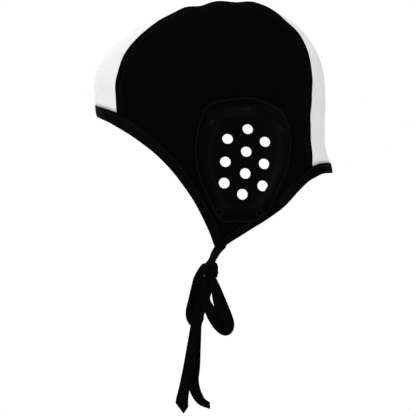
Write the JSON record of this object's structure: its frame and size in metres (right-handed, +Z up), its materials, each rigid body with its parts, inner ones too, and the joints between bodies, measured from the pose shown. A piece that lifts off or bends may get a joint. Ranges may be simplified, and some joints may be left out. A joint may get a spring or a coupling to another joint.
{
  "type": "water polo cap",
  "caption": "Black and white water polo cap with vented ear guards, bound rims and a tape tie knotted in a bow under the chin.",
  "frame": {"origin": "inside of the crown at its top, where the top of the head rests, on the mid plane", "axes": "+X towards the wearer's left, -Y towards the face, +Z up; the picture looks along -X"},
  "size_m": [0.1812, 0.2061, 0.3555],
  "materials": {
    "black_cloth": "matt knitted swim cloth",
    "white_cloth": "matt knitted swim cloth",
    "black_tape": "matt woven tape",
    "guard_plastic": "satin moulded plastic"
  },
  "bodies": {
    "root": {"side_panel_left": "black_cloth", "side_panel_right": "black_cloth", "centre_panel": "white_cloth", "front_binding": "black_tape", "back_binding": "black_tape", "ear_guard_left": "guard_plastic", "ear_guard_right": "guard_plastic", "tie_left": "black_tape", "tie_right": "black_tape", "bow_knot": "black_tape", "bow_loop_front": "black_tape", "bow_loop_back": "black_tape", "tie_tail_front": "black_tape", "tie_tail_back": "black_tape"}
  },
  "joints": []
}
